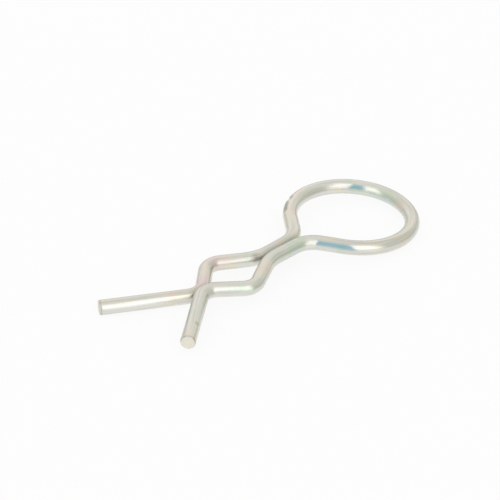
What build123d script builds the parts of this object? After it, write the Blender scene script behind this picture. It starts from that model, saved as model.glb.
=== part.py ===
"""Spring clip for a hitch pin, bent from one length of round wire.

The wire makes a round eye, two legs that lie side by side at the neck, a bulge that closes round the
hitch pin, a waist where the legs come together again, and two splayed tips that lead the clip on. While
the wire is drawn, the eye's centre is at x = 0 and the tips point to -X. The finished clip is then laid
down as it comes to rest, with the middle of its box over the origin.
"""

import os
from math import acos, cos, degrees, radians, sin, sqrt

from build123d import *

# Wire and eye, in millimetres
wire_diameter = 3.0
eye_inside_diameter = 21.6
leg_clearance = 0.1

# Places of the bends along the clip: the first from the eye's centreline, each other from the one before
shoulder_reach = 2.0
neck_length = 10.1
bulge_length = 16.6
crest_share = 0.525

# Inside radii of each leg's four bends, in their order from the eye to the tip
shoulder_bend_radius = 4.8
neck_bend_radius = 7.5
crest_bend_radius = 1.9
waist_bend_radius = 2.2

# Each leg's own sizes: they differ a little, as on a clip that is formed by hand
far_crest_height = 7.1
far_tip_length = 20.2
far_tip_splay = 31.5
near_crest_height = 6.5
near_tip_length = 17.6
near_tip_splay = 37.8
tip_edge_round = 0.3

# Each half of the wire leaves the eye's plane by leg_tilt degrees, the far one down and the near one up,
# so that the legs pass each other. The eye is cocked up from the legs by eye_lift degrees.
leg_tilt = 0.9
eye_lift = 5.2

# Turns in degrees that lay the clip on its far tip and on the near side of its eye
rest_roll = 3.85
rest_pitch = 3.25

wire_radius = wire_diameter / 2
eye_radius = eye_inside_diameter / 2 + wire_radius
shoulder_x = -eye_radius - shoulder_reach
leg_pitch = wire_diameter + leg_clearance


def turned(point, hinge_x, angle):
    """Turn a point about the cross line at hinge_x, so that a positive angle lowers the tip end."""
    hinge = Vector(hinge_x, 0, 0)
    return hinge + (point - hinge).rotate(Axis.Y, -angle)


def touch_direction(centre, radius, point):
    """Direction from a circle's centre to where a line from the point touches the circle."""
    away = point - centre
    return away.normalized().rotate(Axis.Z, -degrees(acos(radius / away.length)))


def leg_side(x):
    """Sideways place of a leg that just clears the other, beside the height that its tilt gives it."""
    height = (eye_radius - x) * sin(radians(leg_tilt))
    return sqrt((leg_pitch / 2) ** 2 - height**2)


def leg_corners(crest_height, tip_length, tip_splay):
    """Corners of one leg drawn flat, from where it leaves the eye to the end of its tip."""
    shoulder = Vector(shoulder_x, leg_side(shoulder_x))
    neck_end = shoulder - Vector(neck_length, 0)
    crest = Vector(neck_end.X - crest_share * bulge_length, crest_height)
    leaves_eye = eye_radius * touch_direction(Vector(), eye_radius, shoulder)

    # The waist bend just clears the other leg, and its corner is where the two runs beside it would meet
    waist_radius = waist_bend_radius + wire_radius
    waist_x = neck_end.X - bulge_length
    waist_centre = Vector(waist_x, leg_side(waist_x) + waist_radius)
    splay = radians(tip_splay)
    tip_normal = Vector(sin(splay), cos(splay))
    crest_normal = -touch_direction(waist_centre, waist_radius, crest)
    corner_reach = waist_radius / (1 + tip_normal.dot(crest_normal))
    waist = waist_centre - corner_reach * (tip_normal + crest_normal)
    tip = waist + tip_length * Vector(-cos(splay), sin(splay))
    return leaves_eye, shoulder, neck_end, crest, waist, tip


def half_path(side, crest_height, tip_length, tip_splay):
    """Centreline of half the clip, from the eye's far side to one tip. Side is 1 far and -1 near."""

    def placed(point):
        """Put a flat point on this half's side and tilt it."""
        return turned(Vector(point.X, side * point.Y, point.Z), eye_radius, side * leg_tilt)

    leaves_eye, *corners = leg_corners(crest_height, tip_length, tip_splay)
    eye_end = Vector(eye_radius, 0)
    eye_middle = eye_radius * (eye_end + leaves_eye).normalized()
    eye_arc = ThreePointArc(placed(eye_end), placed(eye_middle), placed(leaves_eye))

    inside_radii = (shoulder_bend_radius, neck_bend_radius, crest_bend_radius, waist_bend_radius)
    leg = FilletPolyline(
        placed(leaves_eye),
        *(placed(turned(corner, shoulder_x, eye_lift)) for corner in corners),
        radius=[inside + wire_radius for inside in inside_radii],
    )
    return eye_arc, leg


def wire_path():
    """Centreline of the whole clip, from tip to tip round the eye."""
    far_half = half_path(1, far_crest_height, far_tip_length, far_tip_splay)
    near_half = half_path(-1, near_crest_height, near_tip_length, near_tip_splay)
    return Wire([edge for run in (*far_half, *near_half) for edge in run.edges()])


def bent_wire(path):
    """The clip as it is drawn: one round wire swept along its path, with the cut ends' rims rounded."""
    section = Plane(origin=path @ 0, z_dir=path % 0) * Circle(wire_radius)
    wire = sweep(section, path=path)
    tip_rims = wire.faces().filter_by(GeomType.PLANE).edges()
    return fillet(tip_rims, tip_edge_round)


def laid_down(clip):
    """Lay the clip on the floor as it rests, with the middle of its box over the origin."""
    resting = Rot(Y=rest_pitch) * Rot(X=rest_roll) * clip
    box = resting.bounding_box()
    return Pos(-box.center().X, -box.center().Y, -box.min.Z) * resting


centreline = wire_path()
drawn_clip = bent_wire(centreline)
wire_clip = laid_down(drawn_clip)
print(f"wire cut to {centreline.length:.1f} mm")

os.makedirs("parts", exist_ok=True)
export_step(wire_clip, "parts/wire_clip.step")
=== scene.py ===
"""Spring clip for a hitch pin, bent from one length of zinc plated wire, on a white studio floor.

The file is laid out as an add-on. Its panel holds the wire's sizes, the colours of the plating and the
studio, and two operators: one bends the wire into the clip, and one sets up the studio round it. All
sizes are in metres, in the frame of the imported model.
"""

from math import acos, cos, pi, radians, sin, sqrt

import bpy
from bpy.props import FloatProperty, FloatVectorProperty, IntProperty, PointerProperty
from mathutils import Matrix, Quaternion, Vector
from mathutils.kdtree import KDTree


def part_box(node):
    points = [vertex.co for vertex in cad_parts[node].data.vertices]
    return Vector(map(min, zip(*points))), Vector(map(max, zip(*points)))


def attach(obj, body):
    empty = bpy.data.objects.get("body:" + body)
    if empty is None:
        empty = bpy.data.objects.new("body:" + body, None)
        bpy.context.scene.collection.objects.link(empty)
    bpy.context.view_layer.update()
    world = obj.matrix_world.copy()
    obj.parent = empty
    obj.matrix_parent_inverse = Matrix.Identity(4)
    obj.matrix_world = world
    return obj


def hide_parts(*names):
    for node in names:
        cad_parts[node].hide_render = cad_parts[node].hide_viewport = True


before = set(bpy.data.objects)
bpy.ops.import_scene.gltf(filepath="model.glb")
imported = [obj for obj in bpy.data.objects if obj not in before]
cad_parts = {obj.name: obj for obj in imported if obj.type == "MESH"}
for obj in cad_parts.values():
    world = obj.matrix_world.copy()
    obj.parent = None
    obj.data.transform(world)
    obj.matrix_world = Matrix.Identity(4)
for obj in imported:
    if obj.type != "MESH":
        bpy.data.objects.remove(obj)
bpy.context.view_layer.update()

bl_info = {
    "name": "Hitch Pin Clip",
    "version": (1, 0, 0),
    "blender": (4, 5, 0),
    "location": "View3D > Sidebar > Pin Clip",
    "description": "Bends a zinc plated spring clip from one wire and sets up its studio",
    "category": "Object",
}

CAD_NODE = "wire_clip"
BODY = "root"
MM = 0.001

# The curve that turns an sRGB value into a linear one
HEX_STEP = 255
SRGB_TOE, SRGB_TOE_SLOPE, SRGB_OFFSET, SRGB_POWER = 0.04045, 12.92, 0.055, 2.4

# Names of what is written on the wire's points for the material to read
STRAIGHT_WIRE = "straight_wire"
CUT_END = "cut_end"
BEND_RADIUS = "bend_radius"
# How dark each jaw's flat is painted, partly scuffed plate and partly painted shade of the flat
JAW_MARK = "jaw_mark"
# How near the other leg is, which masks the painted shade between the legs
CREVICE = "crevice"

# How squarely a jaw's flat ends along the wire
JAW_END_POWER = 4

# Film thickness at which the passivate takes each tint
FILM_TINTS = (
    (0.30, "blue"), (0.38, "green"), (0.44, "zinc"), (0.52, "zinc"), (0.57, "yellow"), (0.63, "peach"),
    (0.70, "pink"),
)
# Film thickness along the wire, by millimetres from the far tip
FILM_ALONG = (
    (0, 0.54), (6, 0.48), (16, 0.57), (28, 0.57), (30.5, 0.66), (32.5, 0.49), (54, 0.55), (72, 0.43),
    (87, 0.42), (91, 0.60), (95, 0.48), (103, 0.55), (118, 0.53), (126, 0.36), (131, 0.36), (137, 0.58),
    (146, 0.48), (156, 0.54), (160, 0.42), (170, 0.55),
)

# Streak noise below the first level is bright plate, above the second it is dull by the share given
STREAK_BRIGHT, STREAK_DULL, STREAK_SHARE = 0.45, 0.72, 0.6
# Streak noise over which the roughness rises, and how much of a jaw's mark is left where it is low
STREAK_SMOOTH, STREAK_ROUGH, MARK_LEFT = 0.35, 0.7, 0.5
# Layers of noise in the streaks, the draw lines, the ripples and the clouds, and how fast they fade
STREAK_DETAIL, LINE_DETAIL, RIPPLE_DETAIL, CLOUD_DETAIL, LINE_FADE = 3.0, 1.0, 1.0, 2.0, 0.6
# How much the clouds are swirled
CLOUD_SWIRL = 0.3
# How the painted shade between the legs deepens towards the other leg, and its share where they touch
LEG_SHADE_POWER, LEG_SHADE_SHARE = 3.0, 0.9
# How much of the plate a pit, the smudge, the painted shade at the neck's mouth and the painted shade line
# round each rim hide
SPECK_SHARE, STAIN_SHARE, MOUTH_SHARE, RIM_SHADE_SHARE = 0.5, 0.45, 0.6, 0.22
# The rim's share of a cut end at which the painted shade line lies, and from which the end counts as cut
# face
RIM_SHADE_START, RIM_SHADE_END, RIM_SHADE_GONE, FACE_START = 0.03, 0.14, 0.32, 0.2
# How soon the rim grows rough towards a cut end
CUT_POWER = 0.12


def linear(hex_colour):
    """Turn an sRGB hex colour into the linear colour that Blender's sockets take."""
    channels = [int(hex_colour[place:place + 2], 16) / HEX_STEP for place in (1, 3, 5)]
    return tuple(
        c / SRGB_TOE_SLOPE if c <= SRGB_TOE else ((c + SRGB_OFFSET) / (1 + SRGB_OFFSET)) ** SRGB_POWER
        for c in channels
    )


def opaque(colour):
    """A colour with full alpha, as a node's colour socket takes it."""
    return (*colour, 1.0)


def grey(level):
    """A grey with full alpha, for a ramp that is read as a number."""
    return (level, level, level, 1.0)


def millimetres(name, description, size):
    """A length that the panel shows, given in millimetres."""
    return FloatProperty(name=name, description=description, default=size * MM, unit="LENGTH", precision=5)


def turn(name, description, degrees):
    """An angle that the panel shows, given in degrees."""
    return FloatProperty(name=name, description=description, default=radians(degrees), unit="ROTATION")


def share(name, description, default):
    """A plain number: a share, a strength, a roughness or an index of refraction."""
    return FloatProperty(name=name, description=description, default=default, min=0.0, precision=3)


def paint(name, description, hex_colour):
    """A colour that the panel shows, given as an sRGB hex value."""
    return FloatVectorProperty(
        name=name, description=description, default=linear(hex_colour), subtype="COLOR", size=3, min=0.0
    )


def place(name, description, *sizes):
    """A point that the panel shows, given in millimetres."""
    return FloatVectorProperty(
        name=name, description=description, default=[size * MM for size in sizes], subtype="TRANSLATION"
    )


class PINCLIP_PG_wire(bpy.types.PropertyGroup):
    """Sizes of the bent wire, as the part's own source has them, and the marks that forming left on it."""

    wire_diameter: millimetres("Wire diameter", "Thickness of the round wire", 3.0)
    eye_inside_diameter: millimetres("Eye inside", "Width of the hole in the eye", 21.6)
    leg_clearance: millimetres("Leg clearance", "Gap between the legs where they pass", 0.1)

    shoulder_reach: millimetres("Shoulder reach", "From the eye's centreline to the shoulder", 2.0)
    neck_length: millimetres("Neck length", "From the shoulder to the end of the neck", 10.1)
    bulge_length: millimetres("Bulge length", "From the end of the neck to the waist", 16.6)
    crest_share: share("Crest share", "Where the crest stands along the bulge", 0.525)

    shoulder_bend_radius: millimetres("Shoulder bend", "Inside radius of the shoulder bend", 4.8)
    neck_bend_radius: millimetres("Neck bend", "Inside radius at the end of the neck", 7.5)
    crest_bend_radius: millimetres("Crest bend", "Inside radius of the bulge's crest", 1.9)
    waist_bend_radius: millimetres("Waist bend", "Inside radius of the waist bend", 2.2)

    far_crest_height: millimetres("Far crest", "How far the far leg bulges out", 7.1)
    far_tip_length: millimetres("Far tip", "Length of the far tip", 20.2)
    far_tip_splay: turn("Far splay", "Turn of the far tip away from the clip's line", 31.5)
    near_crest_height: millimetres("Near crest", "How far the near leg bulges out", 6.5)
    near_tip_length: millimetres("Near tip", "Length of the near tip", 17.6)
    near_tip_splay: turn("Near splay", "Turn of the near tip away from the clip's line", 37.8)
    tip_edge_round: millimetres("Tip edge", "How far the cut ends' rims draw in", 0.3)
    tip_edge_length: millimetres("Tip edge length", "How far back the cut ends' rims start to draw in", 0.5)

    grip_place: millimetres("Grip place", "Middle of the gripping jaw's flat, from the far tip", 58.7)
    grip_reach: millimetres("Grip reach", "Half the length of the gripping jaw's flat", 2.0)
    grip_depth: millimetres("Grip depth", "Depth of the gripping jaw's flat", 0.16)
    grip_lean: turn("Grip lean", "How far up from the eye's plane the gripping jaw pressed", 46.0)
    # How dark the gripping jaw's flat is painted, partly scuffed plate and partly painted shade of the flat
    grip_darkness: share("Grip rub", "How dark the gripping jaw leaves its flat", 1.0)
    nick_place: millimetres("Nick place", "Middle of the nick at the jaw's end, from the far tip", 61.9)
    nick_reach: millimetres("Nick reach", "Half the length of the nick", 0.95)
    nick_depth: millimetres("Nick depth", "Depth of the nick", 0.45)
    nick_lean: turn("Nick lean", "How far up from the eye's plane the nick is cut", 34.0)
    # How dark the nick is painted, partly scuffed plate and partly painted shade of the nick
    nick_darkness: share("Nick rub", "How dark the nick is left", 0.3)

    leg_length: millimetres("Leg length", "Wire in each leg, from its tip to the eye", 55.0)
    leg_tilt: turn("Leg tilt", "How far each half leaves the eye's plane", 0.9)
    eye_lift: turn("Eye lift", "How far the eye is cocked up from the legs", 5.2)
    rest_roll: turn("Rest roll", "Turn about the clip's length as it lies", 3.85)
    rest_pitch: turn("Rest pitch", "Turn about the clip's width as it lies", 3.25)

    station_step: millimetres("Station step", "Spacing of the mesh's rings along the wire", 0.2)
    sides: IntProperty(name="Sides", description="Points round the wire", default=56, min=12)
    rim_rings: IntProperty(name="Rim rings", description="Rings over each rounded rim", default=6, min=2)
    bend_points: IntProperty(name="Bend points", description="Points along each bend", default=48, min=8)
    eye_points: IntProperty(name="Eye points", description="Points along half the eye", default=360, min=16)


class PINCLIP_PG_plating(bpy.types.PropertyGroup):
    """Colours and pattern sizes of the zinc plating."""

    zinc: paint("Zinc", "Bright plate, a pale silver with a little cream in it", "#DEDDD6")
    zinc_dull: paint("Dull zinc", "Thinner, greyer plate along the streaks", "#BCBAB1")
    blue: paint("Blue tint", "Passivate film where it turns blue", "#D2DBDC")
    green: paint("Green tint", "Passivate film where it turns green", "#D4DDCD")
    yellow: paint("Yellow tint", "Passivate film where it turns straw yellow", "#E2DECF")
    peach: paint("Peach tint", "Passivate film where it turns peach", "#E5D9D1")
    pink: paint("Pink tint", "Passivate film where it turns pink", "#E3D4D3")
    # Darkened plate on the jaws' flats, partly scuffed plate and partly painted shade of the flats
    scuff_and_shade: paint("Scuff_and_shade", "Plate burnished dark where a forming jaw pressed it", "#A5A39C")
    speck: paint("Speck", "Small dark pit in the plate", "#6E6A63")
    stain: paint("Stain", "Brown smudge on the near tip", "#8C8676")
    # Painted shade between the legs, where they touch and where the neck opens, laid as a dark olive colour
    shade_between_legs: paint("Shade_between_legs", "Dark olive where the legs touch and the plating bath hardly reached", "#5A5440")
    # Colour of the painted shade line round each cut rim
    rim_shade: paint("Rim_shade", "Dark line where the shears turned the rim over", "#8E8B80")
    cut_face: paint("Cut face", "Sheared end, paler and creamier than the plate", "#F2EDE0")
    roughness_low: share("Smooth roughness", "Roughness of the brightest plate", 0.1)
    roughness_high: share("Line roughness", "Roughness along the streaks", 0.2)
    cut_roughness: share("Cut roughness", "Roughness that the sheared ends add", 0.5)

    # The streaks and the die's lines are coarser and deeper than real ones, so that they show
    streak_width: millimetres("Streak width", "Width of one streak", 0.6)
    streak_length: millimetres("Streak length", "Length of one streak along the wire", 14.0)
    draw_line_width: millimetres("Draw line width", "Spacing of the fine lines from the drawing die", 0.08)
    draw_line_length: millimetres("Draw line length", "Length of one line from the drawing die", 20.0)
    draw_line_depth: millimetres("Draw line depth", "Depth of one line from the drawing die", 0.03)
    ripple_size: millimetres("Ripple size", "Spacing of the slow ripples in the plate", 2.4)
    ripple_depth: millimetres("Ripple depth", "Depth of the slow ripples in the plate", 0.011)
    tint_size: millimetres("Tint size", "Size of one cloud of colour in the passivate", 4.0)
    film_clouds: share("Film clouds", "How much the film's thickness varies from cloud to cloud", 0.17)
    film_span: millimetres("Film span", "Length of wire over which the film's thickness is given", 170.0)
    # Reach of the painted shade between the legs
    crevice_reach: millimetres("Crevice reach", "How near the other leg has to be for grime to show", 2.6)
    speck_spacing: millimetres("Speck spacing", "Spacing of the small pits", 2.6)
    speck_size: millimetres("Speck size", "Width of one pit", 0.2)

    # Places on the wire before it is bent: along it, and then across it both ways
    stain_place: place("Stain place", "Middle of the smudge", 165.6, -0.92, -1.18)
    stain_size: millimetres("Stain size", "From the smudge's middle to its edge", 0.8)
    # Patch of painted shade where the far run passes behind the near leg at the neck's mouth
    mouth_place: place("Mouth place", "Middle of the grime where the neck opens", 38.2, 1.25, -0.83)
    mouth_size: millimetres("Mouth size", "From that grime's middle to its edge", 1.3)


class PINCLIP_PG_studio(bpy.types.PropertyGroup):
    """The floor, the tent of pale cloth with its lit panels, and the camera."""

    floor: paint("Floor", "Satin white board", "#F4F4F2")
    floor_size: millimetres("Floor size", "Side of the floor", 6000.0)
    floor_glow: share("Floor glow", "Share of the floor that the camera sees as plain white paper", 0.89)
    metal_glow: share("Floor glow in metal", "Share of the floor that metal shows as white paper", 0.97)
    floor_gloss: share("Floor gloss", "Roughness of the board's satin face", 0.12)
    floor_ior: share("Floor IOR", "How strongly the board's face mirrors at a low angle", 1.6)

    tent_strength: share("Tent strength", "Tent brightness, where 1 is as its colours are written", 1.15)
    ceiling: paint("Ceiling", "Pale cloth overhead", "#E6E4E1")
    ceiling_edge: turn("Ceiling edge", "Elevation at which the walls start to turn into the ceiling", 36.9)
    ceiling_full: turn("Ceiling full", "Elevation from which all is ceiling", 66.9)
    back_wall: paint("Back wall", "Pale cloth behind the clip, the brightest of the walls", "#F0EEEC")
    back_azimuth: turn("Back wall direction", "Direction of the back wall's middle", 40.0)
    back_spread: turn("Back wall spread", "From its middle to where the back wall starts to dim", 25.8)
    back_fade: turn("Back wall fade", "From its middle to where the back wall ends", 72.5)
    side_wall: paint("Side walls", "Dimmer cloth to the sides", "#D0D4CB")
    skirting: paint("Skirting", "Dimmer line where the walls meet the floor", "#C6C6C0")
    skirting_top: turn("Skirting top", "Elevation at which the skirting has faded out", 14.5)
    lamp: paint("Lamps", "Lit panels of the tent, either side of the camera", "#FFFFFF")
    lamp_strength: share("Lamp strength", "Brightness of the lit panels beside the rest of the tent", 1.27)
    left_lamp_reach: turn("Left lamp reach", "Outer edge of the left panel, from the gap's middle", 51.0)
    right_lamp_reach: turn("Right lamp reach", "Outer edge of the right panel, from the gap's middle", 42.0)
    lamp_feather: turn("Lamp feather", "Width of each panel's soft outer edge", 19.0)
    lamp_top: turn("Lamp top", "Elevation of the panels' upper edge", 61.0)
    gap: paint("Gap", "Cool dim gap between the lit panels, behind the camera", "#A0C6DA")
    gap_azimuth: turn("Gap direction", "Direction of the gap's middle", -128.0)
    gap_spread: turn("Gap spread", "Half the width of the gap, seen from the clip", 16.0)
    gap_feather: turn("Gap feather", "Width of the soft edge between gap and panel", 3.5)
    gap_top: turn("Gap top", "Elevation of the gap's upper edge", 64.0)
    top_feather: turn("Top feather", "Width of the panels' and the gap's soft upper edge", 14.0)

    camera_azimuth: turn("Camera azimuth", "Direction that the camera looks in, from +Y towards +X", 43.38)
    camera_elevation: turn("Camera elevation", "How far the camera looks down", 31.03)
    camera_roll: turn("Camera roll", "Lean of the camera about its own line of sight", -0.759)
    camera_distance: millimetres("Camera distance", "From the camera to what it aims at", 592.89)
    camera_near: millimetres("Camera near", "Nearest distance that the camera shows", 59.0)
    camera_lens: FloatProperty(name="Lens", description="Focal length", default=216.0, unit="CAMERA")
    camera_sensor: FloatProperty(
        name="Sensor", description="Width of the sensor", default=36.0, unit="CAMERA"
    )
    camera_aim: place("Aim", "Point that the camera aims at", -1.065, 5.041, 2.55)


def add_node(tree, kind, inputs=None, **settings):
    """Add a node, set its properties, and give each input named or numbered a value or a link."""
    node = tree.nodes.new(kind)
    for name, value in settings.items():
        setattr(node, name, value)
    for name, value in (inputs or {}).items():
        if isinstance(value, bpy.types.NodeSocket):
            tree.links.new(value, node.inputs[name])
        else:
            node.inputs[name].default_value = value
    return node


def turned(point, hinge_x, angle):
    """Turn a point about the cross line at hinge_x, so that a positive angle lowers the tip end."""
    hinge = Vector((hinge_x, 0, 0))
    return hinge + Matrix.Rotation(-angle, 3, "Y") @ (point - hinge)


def touch_direction(centre, radius, point):
    """Direction from a circle's centre to where a line from the point touches the circle."""
    away = point - centre
    return Matrix.Rotation(-acos(radius / away.length), 3, "Z") @ away.normalized()


class ClipPath:
    """The wire's centreline as corners with bend radii, from the far tip round the eye to the near tip."""

    def __init__(self, sizes):
        self.sizes = sizes
        self.wire_radius = sizes.wire_diameter / 2
        self.eye_radius = sizes.eye_inside_diameter / 2 + self.wire_radius
        self.shoulder_x = -self.eye_radius - sizes.shoulder_reach
        self.leg_pitch = sizes.wire_diameter + sizes.leg_clearance

    def leg_side(self, x):
        """Sideways place of a leg that just clears the other, beside the height that its tilt gives it."""
        height = (self.eye_radius - x) * sin(self.sizes.leg_tilt)
        return sqrt((self.leg_pitch / 2) ** 2 - height ** 2)

    def leg_corners(self, crest_height, tip_length, tip_splay):
        """Corners of one leg drawn flat, from where it leaves the eye to the end of its tip."""
        sizes = self.sizes
        shoulder = Vector((self.shoulder_x, self.leg_side(self.shoulder_x), 0))
        neck_end = shoulder - Vector((sizes.neck_length, 0, 0))
        crest = Vector((neck_end.x - sizes.crest_share * sizes.bulge_length, crest_height, 0))
        leaves_eye = self.eye_radius * touch_direction(Vector(), self.eye_radius, shoulder)

        # The waist bend just clears the other leg, and its corner is where the runs beside it would meet
        waist_radius = sizes.waist_bend_radius + self.wire_radius
        waist_x = neck_end.x - sizes.bulge_length
        waist_centre = Vector((waist_x, self.leg_side(waist_x) + waist_radius, 0))
        tip_normal = Vector((sin(tip_splay), cos(tip_splay), 0))
        crest_normal = -touch_direction(waist_centre, waist_radius, crest)
        corner_reach = waist_radius / (1 + tip_normal.dot(crest_normal))
        waist = waist_centre - corner_reach * (tip_normal + crest_normal)
        tip = waist + tip_length * Vector((-cos(tip_splay), sin(tip_splay), 0))
        return leaves_eye, shoulder, neck_end, crest, waist, tip

    def half(self, side, crest_height, tip_length, tip_splay):
        """Half the path from the eye's end to a tip, as (point, bend radius). Side is 1 far and -1 near."""
        sizes = self.sizes
        leaves_eye, *corners = self.leg_corners(crest_height, tip_length, tip_splay)
        inside_radii = (
            sizes.shoulder_bend_radius, sizes.neck_bend_radius,
            sizes.crest_bend_radius, sizes.waist_bend_radius,
        )
        radii = [inside + self.wire_radius for inside in inside_radii] + [0.0]

        def placed(point):
            """Put a flat point on this half's side and tilt it."""
            on_side = Vector((point.x, side * point.y, point.z))
            return turned(on_side, self.eye_radius, side * sizes.leg_tilt)

        eye_sweep = Vector((1, 0, 0)).angle(leaves_eye)
        for step in range(sizes.eye_points + 1):
            around = eye_sweep * step / sizes.eye_points
            yield placed(self.eye_radius * Vector((cos(around), sin(around), 0))), 0.0
        for corner, radius in zip(corners, radii):
            yield placed(turned(corner, self.shoulder_x, sizes.eye_lift)), radius

    def corners(self):
        """The whole path, turned as the clip lies, as two lists: points and bend radii."""
        sizes = self.sizes
        far = list(self.half(1, sizes.far_crest_height, sizes.far_tip_length, sizes.far_tip_splay))
        near = list(self.half(-1, sizes.near_crest_height, sizes.near_tip_length, sizes.near_tip_splay))
        points, radii = zip(*far[::-1], *near[1:])
        lie = Matrix.Rotation(sizes.rest_pitch, 3, "Y") @ Matrix.Rotation(sizes.rest_roll, 3, "X")
        return [lie @ point for point in points], radii


def wire_tree():
    """Node tree that rounds a line of corners, spaces rings along it and sweeps the wire's section."""
    tree = bpy.data.node_groups.new("wire_from_corners", "GeometryNodeTree")
    for name, kind in (
        ("Corners", "NodeSocketGeometry"), ("Wire Radius", "NodeSocketFloat"),
        ("Rim Depth", "NodeSocketFloat"), ("Rim Length", "NodeSocketFloat"),
        ("Station Step", "NodeSocketFloat"), ("Sides", "NodeSocketInt"), ("Rim Rings", "NodeSocketInt"),
        ("Bend Points", "NodeSocketInt"), ("Plating", "NodeSocketMaterial"),
    ):
        tree.interface.new_socket(name, in_out="INPUT", socket_type=kind)
    tree.interface.new_socket("Wire", in_out="OUTPUT", socket_type="NodeSocketGeometry")
    given = add_node(tree, "NodeGroupInput").outputs

    # Bends: each corner of the line becomes an arc of its own radius
    line = add_node(tree, "GeometryNodeMeshToCurve", {"Mesh": given["Corners"]})
    bend = add_node(tree, "GeometryNodeInputNamedAttribute", {"Name": BEND_RADIUS}, data_type="FLOAT")
    path = add_node(
        tree, "GeometryNodeFilletCurve",
        {"Curve": line.outputs[0], "Count": given["Bend Points"], "Radius": bend.outputs[0]}, mode="POLY",
    ).outputs[0]

    # Stations: a fixed number over each rounded rim, and even steps along the run between them
    found = {socket.name: socket for socket in given}
    found["length"] = add_node(tree, "GeometryNodeCurveLength", {"Curve": path}).outputs[0]
    found["index"] = add_node(tree, "GeometryNodeInputIndex").outputs[0]
    for name, operation, *values in (
        ("both rims", "MULTIPLY", "Rim Length", 2.0),
        ("run", "SUBTRACT", "length", "both rims"),
        ("run in steps", "DIVIDE", "run", "Station Step"),
        ("steps", "ROUND", "run in steps"),
        ("rim steps", "MULTIPLY", "Rim Rings", 2.0),
        ("last", "ADD", "steps", "rim steps"),
        ("count", "ADD", "last", 1.0),
        ("from last", "SUBTRACT", "last", "index"),
        # Turn over each rim, from nothing at its cut end to a quarter turn where the run starts
        ("far part", "DIVIDE", "index", "Rim Rings"),
        ("far reached", "MINIMUM", "far part", 1.0),
        ("far turn", "MULTIPLY", "far reached", pi / 2),
        ("near part", "DIVIDE", "from last", "Rim Rings"),
        ("near reached", "MINIMUM", "near part", 1.0),
        ("near turn", "MULTIPLY", "near reached", pi / 2),
        # How far along the wire a station is
        ("far left", "COSINE", "far turn"),
        ("near gone", "COSINE", "near turn"),
        ("rims gone", "SUBTRACT", "near gone", "far left"),
        ("rims passed", "ADD", "rims gone", 1.0),
        ("along rims", "MULTIPLY", "rims passed", "Rim Length"),
        ("past rim", "SUBTRACT", "index", "Rim Rings"),
        ("run part", "DIVIDE", "past rim", "steps"),
        ("run begun", "MAXIMUM", "run part", 0.0),
        ("run reached", "MINIMUM", "run begun", 1.0),
        ("along run", "MULTIPLY", "run reached", "run"),
        ("along", "ADD", "along rims", "along run"),
        # How much of the wire's full radius is there
        ("drawn in", "DIVIDE", "Rim Depth", "Wire Radius"),
        ("far rise", "SINE", "far turn"),
        ("near rise", "SINE", "near turn"),
        ("rises", "ADD", "far rise", "near rise"),
        ("lack", "SUBTRACT", "rises", 2.0),
        ("scale", "MULTIPLY_ADD", "lack", "drawn in", 1.0),
    ):
        inputs = {place: found[value] if value in found else value for place, value in enumerate(values)}
        found[name] = add_node(tree, "ShaderNodeMath", inputs, operation=operation).outputs[0]

    # Each station is set on the path and keeps how far along the straight wire it was
    stations = add_node(
        tree, "GeometryNodeMeshLine", {"Count": found["count"], "Offset": (0, 0, MM)}, mode="OFFSET"
    ).outputs[0]
    for name, value in (("wire_along", found["along"]), ("wire_scale", found["scale"])):
        stations = add_node(
            tree, "GeometryNodeStoreNamedAttribute", {"Geometry": stations, "Name": name, "Value": value},
            data_type="FLOAT", domain="POINT",
        ).outputs[0]
    kept = {
        name: add_node(tree, "GeometryNodeInputNamedAttribute", {"Name": name}, data_type=kind).outputs[0]
        for name, kind in (
            ("wire_along", "FLOAT"), ("wire_scale", "FLOAT"), ("wire_section", "FLOAT_VECTOR"),
        )
    }
    on_path = add_node(
        tree, "GeometryNodeSampleCurve", {"Curves": path, "Length": kept["wire_along"]},
        mode="LENGTH", use_all_curves=True,
    ).outputs["Position"]
    stations = add_node(
        tree, "GeometryNodeSetPosition", {"Geometry": stations, "Position": on_path}
    ).outputs[0]
    centreline = add_node(tree, "GeometryNodeMeshToCurve", {"Mesh": stations}).outputs[0]

    # The wire's round section, which keeps its own points too
    section = add_node(
        tree, "GeometryNodeCurvePrimitiveCircle",
        {"Resolution": given["Sides"], "Radius": given["Wire Radius"]}, mode="RADIUS",
    ).outputs[0]
    position = add_node(tree, "GeometryNodeInputPosition").outputs[0]
    section = add_node(
        tree, "GeometryNodeStoreNamedAttribute",
        {"Geometry": section, "Name": "wire_section", "Value": position},
        data_type="FLOAT_VECTOR", domain="POINT",
    ).outputs[0]
    wire = add_node(
        tree, "GeometryNodeCurveToMesh",
        {"Curve": centreline, "Profile Curve": section, "Scale": kept["wire_scale"], "Fill Caps": True},
    ).outputs[0]

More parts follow.
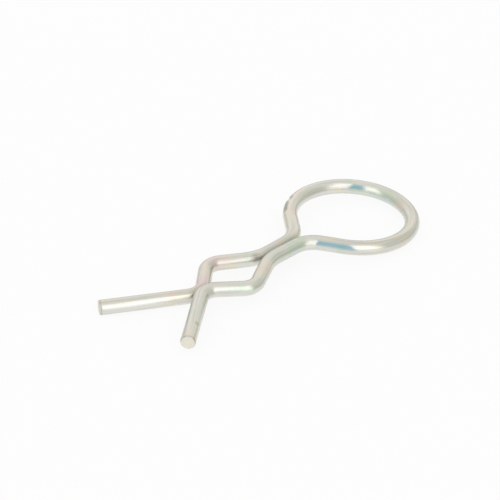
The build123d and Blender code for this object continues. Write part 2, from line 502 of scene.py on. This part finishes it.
    # Where each point was on the wire before it was bent, and how near it is to a cut end
    across = add_node(tree, "ShaderNodeSeparateXYZ", {0: kept["wire_section"]}).outputs
    unbent = add_node(
        tree, "ShaderNodeCombineXYZ", {"X": kept["wire_along"], "Y": across["X"], "Z": across["Y"]}
    ).outputs[0]
    lost = add_node(
        tree, "ShaderNodeMath", {0: 1.0, 1: kept["wire_scale"]}, operation="SUBTRACT"
    ).outputs[0]
    end_share = add_node(
        tree, "ShaderNodeMath", {0: lost, 1: found["drawn in"]}, operation="DIVIDE"
    ).outputs[0]
    for name, kind, value in ((STRAIGHT_WIRE, "FLOAT_VECTOR", unbent), (CUT_END, "FLOAT", end_share)):
        wire = add_node(
            tree, "GeometryNodeStoreNamedAttribute", {"Geometry": wire, "Name": name, "Value": value},
            data_type=kind, domain="POINT",
        ).outputs[0]
    for name in kept:
        wire = add_node(tree, "GeometryNodeRemoveAttribute", {"Geometry": wire, "Name": name}).outputs[0]
    wire = add_node(tree, "GeometryNodeSetShadeSmooth", {"Geometry": wire}).outputs[0]
    wire = add_node(tree, "GeometryNodeRealizeInstances", {"Geometry": wire}).outputs[0]
    wire = add_node(
        tree, "GeometryNodeSetMaterial", {"Geometry": wire, "Material": given["Plating"]}
    ).outputs[0]
    add_node(tree, "NodeGroupOutput", {"Wire": wire})
    return tree


def press_flat(wire, wire_radius, middle, reach, depth, lean, darkness):
    """Press a flat into the eye's outer side, as a forming jaw does, and mark the points that it moves.

    The flat's middle is measured along the wire, it leans up from the eye's plane, and darkness is how dark
    the flat is painted, partly as scuffed plate and partly as painted shade of the flat. The eye's middle
    is still at the origin.
    """
    straight, marks = wire.attributes[STRAIGHT_WIRE].data, wire.attributes[JAW_MARK].data
    normals = [vertex.normal.copy() for vertex in wire.vertices]
    for vertex, normal, unbent, mark in zip(wire.vertices, normals, straight, marks):
        off = abs(unbent.vector.x - middle) / reach
        if off >= 1:
            continue
        outward = cos(lean) * Vector((vertex.co.x, vertex.co.y, 0)).normalized() + Vector((0, 0, sin(lean)))
        proud = wire_radius * normal.dot(outward) - wire_radius + depth * (1 - off ** JAW_END_POWER)
        if proud > 0:
            vertex.co -= proud * outward
            mark.value = max(mark.value, darkness * proud / depth)


# The nearness written here masks the painted shade between the legs
def mark_crevices(wire, leg_length, reach):
    """Write on each leg's points how near the other leg is: nothing at the reach, one at touching."""
    wire.attributes.new(CREVICE, "FLOAT", "POINT")
    places = [unbent.vector.x for unbent in wire.attributes[STRAIGHT_WIRE].data]
    marks = wire.attributes[CREVICE].data
    near_start = max(places) - leg_length
    far = [number for number, along in enumerate(places) if along < leg_length]
    near = [number for number, along in enumerate(places) if along > near_start]
    for leg, other in ((far, near), (near, far)):
        others = KDTree(len(other))
        for number in other:
            others.insert(wire.vertices[number].co, number)
        others.balance()
        for number in leg:
            _, _, gap = others.find(wire.vertices[number].co)
            marks[number].value = max(1 - gap / reach, 0.0)


def zinc_plate(plating):
    """Bright zinc plate with a clear passivate, on drawn spring wire.

    It gives the eye a pale silver mirror, a little soft, with fine lines along the wire, faint clouds of
    pink, green and blue in the passivate film, and here and there a small dark pit. The sheared ends are
    duller and creamier, with a painted shade line round each rim. Painted shade also darkens the legs
    where they touch and where the neck opens, and each jaw's flat is darkened partly as scuffed plate and
    partly as painted shade.
    """
    material = bpy.data.materials.new("bright_zinc_plate_clear_passivate")
    material.use_nodes = True
    tree = material.node_tree
    tree.nodes.clear()
    wire = add_node(tree, "ShaderNodeAttribute", attribute_name=STRAIGHT_WIRE).outputs["Vector"]
    pressed = add_node(tree, "ShaderNodeAttribute", attribute_name=JAW_MARK).outputs["Fac"]
    near_cut = add_node(tree, "ShaderNodeAttribute", attribute_name=CUT_END).outputs["Fac"]
    touching = add_node(tree, "ShaderNodeAttribute", attribute_name=CREVICE).outputs["Fac"]

    # Noise that is drawn out along the wire reads as lines
    lines = []
    for length, width, detail in (
        (plating.streak_length, plating.streak_width, STREAK_DETAIL),
        (plating.draw_line_length, plating.draw_line_width, LINE_DETAIL),
    ):
        stretch = (1 / length, 1 / width, 1 / width)
        drawn = add_node(
            tree, "ShaderNodeVectorMath", {0: wire, 1: stretch}, operation="MULTIPLY"
        ).outputs[0]
        lines.append(add_node(
            tree, "ShaderNodeTexNoise",
            {"Vector": drawn, "Scale": 1.0, "Detail": detail, "Roughness": LINE_FADE},
        ).outputs[0])
    streaks, draw_lines = lines

    # The film's thickness drifts along the wire, with clouds on top, and gives the film its colour
    along = add_node(tree, "ShaderNodeSeparateXYZ", {0: wire}).outputs["X"]
    film_place = add_node(
        tree, "ShaderNodeMath", {0: along, 1: plating.film_span}, operation="DIVIDE"
    ).outputs[0]
    drift = add_node(tree, "ShaderNodeValToRGB", {"Fac": film_place})
    clouds = add_node(
        tree, "ShaderNodeTexNoise",
        {"Vector": wire, "Scale": 1 / plating.tint_size, "Detail": CLOUD_DETAIL, "Distortion": CLOUD_SWIRL},
        normalize=False,
    ).outputs[0]
    film = add_node(
        tree, "ShaderNodeMath", {0: clouds, 1: plating.film_clouds, 2: drift.outputs[0]},
        operation="MULTIPLY_ADD",
    ).outputs[0]
    tint = add_node(tree, "ShaderNodeValToRGB", {"Fac": film})
    # Share of the painted shade line round each cut rim
    rim_shade = add_node(tree, "ShaderNodeValToRGB", {"Fac": near_cut})
    for node, stops in (
        (drift, [(middle * MM / plating.film_span, grey(thickness)) for middle, thickness in FILM_ALONG]),
        (tint, [(thickness, opaque(getattr(plating, name))) for thickness, name in FILM_TINTS]),
        (rim_shade, [
            (0.0, grey(0.0)), (RIM_SHADE_START, grey(RIM_SHADE_SHARE)),
            (RIM_SHADE_END, grey(RIM_SHADE_SHARE)), (RIM_SHADE_GONE, grey(0.0)),
        ]),
    ):
        ramp = node.color_ramp
        ramp.interpolation = "EASE"
        ramp.elements[0].position, ramp.elements[1].position = stops[0][0], stops[-1][0]
        for stop, _ in stops[1:-1]:
            ramp.elements.new(stop)
        for element, (_, colour) in zip(ramp.elements, stops):
            element.color = colour

    # What lies over the film: streaks, pits, the smudge, the jaw's marks that are partly painted shade,
    # painted shade between the legs, the painted shade line round each rim, and cut face
    cells = add_node(
        tree, "ShaderNodeTexVoronoi",
        {"Vector": wire, "Scale": 1 / plating.speck_spacing, "Randomness": 1.0},
    ).outputs["Distance"]
    speck_edge = plating.speck_size / plating.speck_spacing / 2
    from_stain, from_mouth = [
        add_node(tree, "ShaderNodeVectorMath", {0: wire, 1: middle}, operation="DISTANCE").outputs["Value"]
        for middle in (plating.stain_place, plating.mouth_place)
    ]
    shade_falloff = add_node(
        tree, "ShaderNodeMath", {0: touching, 1: LEG_SHADE_POWER}, operation="POWER"
    ).outputs[0]
    shares = []
    for value, low, high, at_low, at_high in (
        (streaks, STREAK_BRIGHT, STREAK_DULL, 0.0, STREAK_SHARE),
        (cells, speck_edge / 2, speck_edge, SPECK_SHARE, 0.0),
        (from_stain, 0.0, plating.stain_size, STAIN_SHARE, 0.0),
        # Painted shade at the neck's mouth, where the far run passes behind the near leg
        (from_mouth, 0.0, plating.mouth_size, MOUTH_SHARE, 0.0),
        (streaks, STREAK_BRIGHT, STREAK_DULL, 1.0, MARK_LEFT),
        # Painted shade between the legs, darkest where they touch
        (shade_falloff, 0.0, 1.0, 0.0, LEG_SHADE_SHARE),
        (near_cut, FACE_START, 1.0, 0.0, 1.0),
        (streaks, STREAK_SMOOTH, STREAK_ROUGH, plating.roughness_low, plating.roughness_high),
    ):
        shares.append(add_node(
            tree, "ShaderNodeMapRange", {"Value": value, 1: low, 2: high, 3: at_low, 4: at_high}, clamp=True
        ).outputs[0])
    worn, speck, stain, mouth, mark_left, shade_between_legs, cut_face, line_rough = shares
    # The jaws' flats darkened, partly scuffed plate and partly painted shade of the flat
    flat_darkness = add_node(tree, "ShaderNodeMath", {0: pressed, 1: mark_left}, operation="MULTIPLY").outputs[0]
    colour = tint.outputs[0]
    for part, over in (
        (worn, plating.zinc_dull), (speck, plating.speck), (stain, plating.stain), (flat_darkness, plating.scuff_and_shade),
        # These three lay painted shade: at the neck's mouth, between the legs, and round each cut rim
        (mouth, plating.shade_between_legs), (shade_between_legs, plating.shade_between_legs), (rim_shade.outputs[0], plating.rim_shade),
        (cut_face, plating.cut_face),
    ):
        colour = add_node(
            tree, "ShaderNodeMix", {0: part, 6: colour, 7: opaque(over)}, data_type="RGBA"
        ).outputs[2]

    cut = add_node(tree, "ShaderNodeMath", {0: near_cut, 1: CUT_POWER}, operation="POWER").outputs[0]
    roughness = add_node(
        tree, "ShaderNodeMath", {0: cut, 1: plating.cut_roughness, 2: line_rough}, operation="MULTIPLY_ADD"
    ).outputs[0]
    ripples = add_node(
        tree, "ShaderNodeTexNoise",
        {"Vector": wire, "Scale": 1 / plating.ripple_size, "Detail": RIPPLE_DETAIL},
    ).outputs[0]
    rippled = add_node(
        tree, "ShaderNodeBump", {"Strength": 1.0, "Distance": plating.ripple_depth, "Height": ripples}
    ).outputs[0]
    bump = add_node(
        tree, "ShaderNodeBump",
        {"Strength": 1.0, "Distance": plating.draw_line_depth, "Height": draw_lines, "Normal": rippled},
    ).outputs[0]
    shader = add_node(
        tree, "ShaderNodeBsdfPrincipled",
        {"Base Color": colour, "Metallic": 1.0, "Roughness": roughness, "Normal": bump},
    )
    add_node(tree, "ShaderNodeOutputMaterial", {"Surface": shader.outputs[0]})
    return material


def white_board(studio):
    """Satin white board: the eye sees plain white paper with the object's soft shadow on it."""
    material = bpy.data.materials.new("satin_white_board")
    material.use_nodes = True
    tree = material.node_tree
    tree.nodes.clear()
    board = add_node(tree, "ShaderNodeBsdfDiffuse", {"Color": opaque(studio.floor)}).outputs[0]
    glow = add_node(tree, "ShaderNodeEmission", {"Strength": 1.0}).outputs[0]
    seen = add_node(tree, "ShaderNodeLightPath").outputs
    shown = 0.0
    for ray, part in (
        ("Is Camera Ray", studio.floor_glow), ("Is Transmission Ray", studio.floor_glow),
        ("Is Glossy Ray", studio.metal_glow),
    ):
        shown = add_node(
            tree, "ShaderNodeMath", {0: seen[ray], 1: part, 2: shown}, operation="MULTIPLY_ADD"
        ).outputs[0]
    paper = add_node(tree, "ShaderNodeMixShader", {0: shown, 1: board, 2: glow}).outputs[0]

    # Only metal sees the board's gloss, so that the camera sees no mirror image on plain paper
    grazing = add_node(tree, "ShaderNodeFresnel", {"IOR": studio.floor_ior}).outputs[0]
    mirrored = add_node(
        tree, "ShaderNodeMath", {0: grazing, 1: seen["Is Glossy Ray"]}, operation="MULTIPLY"
    ).outputs[0]
    gloss = add_node(tree, "ShaderNodeBsdfGlossy", {"Roughness": studio.floor_gloss}).outputs[0]
    face = add_node(tree, "ShaderNodeMixShader", {0: mirrored, 1: paper, 2: gloss}).outputs[0]
    add_node(tree, "ShaderNodeOutputMaterial", {"Surface": face})
    return material


def direction(azimuth, elevation):
    """Unit vector from an azimuth, measured from +Y towards +X, and an elevation."""
    return Vector((sin(azimuth) * cos(elevation), cos(azimuth) * cos(elevation), sin(elevation)))


def pale_tent(studio):
    """World of pale cloth: walls, a ceiling, and two lit panels with a cool gap between them."""
    world = bpy.data.worlds.new("pale_tent")
    world.use_nodes = True
    tree = world.node_tree
    tree.nodes.clear()
    way = add_node(tree, "ShaderNodeTexCoord").outputs["Generated"]
    height = add_node(tree, "ShaderNodeSeparateXYZ", {0: way}).outputs["Z"]
    facing = [
        add_node(
            tree, "ShaderNodeVectorMath", {0: way, 1: direction(azimuth, 0.0)}, operation="DOT_PRODUCT"
        ).outputs["Value"]
        for azimuth in (studio.gap_azimuth, studio.gap_azimuth + pi / 2, studio.back_azimuth)
    ]

    # The panels and the gap are measured round the tent from the gap's middle
    around = add_node(tree, "ShaderNodeMath", {0: facing[1], 1: facing[0]}, operation="ARCTAN2").outputs[0]
    off_gap = add_node(tree, "ShaderNodeMath", {0: around}, operation="ABSOLUTE").outputs[0]
    half_edge, half_top = studio.gap_feather / 2, studio.top_feather / 2
    left_edge, right_edge = -studio.left_lamp_reach, studio.right_lamp_reach
    parts = {}
    for name, value, outside, inside in (
        ("in gap", off_gap, studio.gap_spread + half_edge, studio.gap_spread - half_edge),
        ("right of left edge", around, left_edge - studio.lamp_feather, left_edge),
        ("left of right edge", around, right_edge + studio.lamp_feather, right_edge),
        ("below lamp top", height, sin(studio.lamp_top + half_top), sin(studio.lamp_top - half_top)),
        ("below gap top", height, sin(studio.gap_top + half_top), sin(studio.gap_top - half_top)),
        ("back wall", facing[2], cos(studio.back_fade), cos(studio.back_spread)),
        ("skirting", height, sin(studio.skirting_top), 0.0),
        ("ceiling", height, sin(studio.ceiling_edge), sin(studio.ceiling_full)),
    ):
        parts[name] = add_node(
            tree, "ShaderNodeMapRange", {"Value": value, 1: outside, 2: inside},
            interpolation_type="SMOOTHSTEP",
        ).outputs[0]
    for name, first, second in (
        ("between edges", "right of left edge", "left of right edge"),
        ("lamps", "between edges", "below lamp top"),
        ("gap", "in gap", "below gap top"),
    ):
        parts[name] = add_node(
            tree, "ShaderNodeMath", {0: parts[first], 1: parts[second]}, operation="MULTIPLY"
        ).outputs[0]

    colour = opaque(studio.side_wall)
    for name, cloth in (
        ("back wall", studio.back_wall), ("skirting", studio.skirting), ("ceiling", studio.ceiling),
        ("lamps", studio.lamp_strength * Vector(studio.lamp)), ("gap", studio.gap),
    ):
        colour = add_node(
            tree, "ShaderNodeMix", {0: parts[name], 6: colour, 7: opaque(cloth)}, data_type="RGBA"
        ).outputs[2]
    light = add_node(
        tree, "ShaderNodeBackground", {"Color": colour, "Strength": studio.tent_strength}
    ).outputs[0]
    add_node(tree, "ShaderNodeOutputWorld", {"Surface": light})
    return world


class PINCLIP_OT_bend_wire(bpy.types.Operator):
    """Bend the wire into the clip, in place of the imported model's node"""

    bl_idname = "pinclip.bend_wire"
    bl_label = "Bend Wire"

    def execute(self, context):
        sizes = context.scene.pinclip_wire
        wire_radius = sizes.wire_diameter / 2
        points, radii = ClipPath(sizes).corners()
        corner_line = bpy.data.meshes.new("wire_corners")
        corner_line.from_pydata(points, [(n, n + 1) for n in range(len(points) - 1)], [])
        corner_line.attributes.new(BEND_RADIUS, "FLOAT", "POINT").data.foreach_set("value", radii)
        blank = bpy.data.objects.new("wire_corners", corner_line)
        context.collection.objects.link(blank)

        tree = wire_tree()
        bending = blank.modifiers.new("Bend", "NODES")
        bending.node_group = tree
        settings = {
            "Wire Radius": wire_radius, "Rim Depth": sizes.tip_edge_round,
            "Rim Length": sizes.tip_edge_length, "Station Step": sizes.station_step,
            "Sides": sizes.sides, "Rim Rings": sizes.rim_rings, "Bend Points": sizes.bend_points,
            "Plating": zinc_plate(context.scene.pinclip_plating),
        }
        for socket in tree.interface.items_tree:
            if socket.name in settings:
                bending[socket.identifier] = settings[socket.name]

        evaluated = blank.evaluated_get(context.evaluated_depsgraph_get())
        bent = bpy.data.meshes.new_from_object(evaluated)
        bpy.data.objects.remove(blank)
        if not bent.polygons:
            raise RuntimeError("the wire came out with no faces")

        bent.attributes.new(JAW_MARK, "FLOAT", "POINT")
        for middle, reach, depth, lean, darkness in (
            (sizes.grip_place, sizes.grip_reach, sizes.grip_depth, sizes.grip_lean, sizes.grip_darkness),
            (sizes.nick_place, sizes.nick_reach, sizes.nick_depth, sizes.nick_lean, sizes.nick_darkness),
        ):
            press_flat(bent, wire_radius, middle, reach, depth, lean, darkness)
        mark_crevices(bent, sizes.leg_length, context.scene.pinclip_plating.crevice_reach)

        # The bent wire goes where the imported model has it
        low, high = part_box(CAD_NODE)
        corners = [[getattr(v.co, axis) for v in bent.vertices] for axis in "xyz"]
        middle = Vector([(min(c) + max(c)) / 2 for c in corners])
        bent.transform(Matrix.Translation((low + high) / 2 - middle))
        bent.name = "bent_wire"
        clip = bpy.data.objects.new("bent_wire", bent)
        context.collection.objects.link(clip)
        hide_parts(CAD_NODE)
        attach(clip, BODY)
        return {"FINISHED"}


class PINCLIP_OT_set_studio(bpy.types.Operator):
    """Lay the floor, light the tent and set the camera at the photograph's angle"""

    bl_idname = "pinclip.set_studio"
    bl_label = "Set Studio"

    def execute(self, context):
        scene, studio = context.scene, context.scene.pinclip_studio
        scene.view_settings.view_transform = "Standard"

        look = direction(studio.camera_azimuth, -studio.camera_elevation)
        camera_data = bpy.data.cameras.new("photo_camera")
        camera_data.lens = studio.camera_lens
        camera_data.sensor_width = studio.camera_sensor
        camera_data.clip_start = studio.camera_near
        camera = bpy.data.objects.new("photo_camera", camera_data)
        context.collection.objects.link(camera)
        camera.location = Vector(studio.camera_aim) - studio.camera_distance * look
        lean = Quaternion((0, 0, 1), studio.camera_roll)
        camera.rotation_euler = (look.to_track_quat("-Z", "Y") @ lean).to_euler()
        scene.camera = camera

        half = studio.floor_size / 2
        sheet = bpy.data.meshes.new("floor")
        sheet.from_pydata(
            [(-half, -half, 0), (half, -half, 0), (half, half, 0), (-half, half, 0)], [], [(0, 1, 2, 3)]
        )
        sheet.materials.append(white_board(studio))
        floor = bpy.data.objects.new("floor", sheet)
        context.collection.objects.link(floor)

        scene.world = pale_tent(studio)
        return {"FINISHED"}


class PINCLIP_PT_panel(bpy.types.Panel):
    """Sidebar panel with the clip's sizes, the plating, the studio and the two operators"""

    bl_idname = "PINCLIP_PT_panel"
    bl_label = "Pin Clip"
    bl_space_type = "VIEW_3D"
    bl_region_type = "UI"
    bl_category = "Pin Clip"

    def draw(self, context):
        for group, operator in (
            (context.scene.pinclip_wire, PINCLIP_OT_bend_wire.bl_idname),
            (context.scene.pinclip_plating, None),
            (context.scene.pinclip_studio, PINCLIP_OT_set_studio.bl_idname),
        ):
            box = self.layout.box()
            for name in group.__annotations__:
                box.prop(group, name)
            if operator:
                box.operator(operator)


CLASSES = (
    PINCLIP_PG_wire, PINCLIP_PG_plating, PINCLIP_PG_studio,
    PINCLIP_OT_set_studio, PINCLIP_OT_bend_wire, PINCLIP_PT_panel,
)


def register():
    """Register the classes and hang their settings on the scene."""
    for each in CLASSES:
        bpy.utils.register_class(each)
    bpy.types.Scene.pinclip_wire = PointerProperty(type=PINCLIP_PG_wire)
    bpy.types.Scene.pinclip_plating = PointerProperty(type=PINCLIP_PG_plating)
    bpy.types.Scene.pinclip_studio = PointerProperty(type=PINCLIP_PG_studio)


def unregister():
    """Take the settings and the classes away again."""
    del bpy.types.Scene.pinclip_studio
    del bpy.types.Scene.pinclip_plating
    del bpy.types.Scene.pinclip_wire
    for each in reversed(CLASSES):
        bpy.utils.unregister_class(each)


def main():
    """Make the scene: the studio with its camera first, and then the clip."""
    register()
    bpy.ops.pinclip.set_studio()
    bpy.ops.pinclip.bend_wire()


if __name__ == "__main__":
    main()
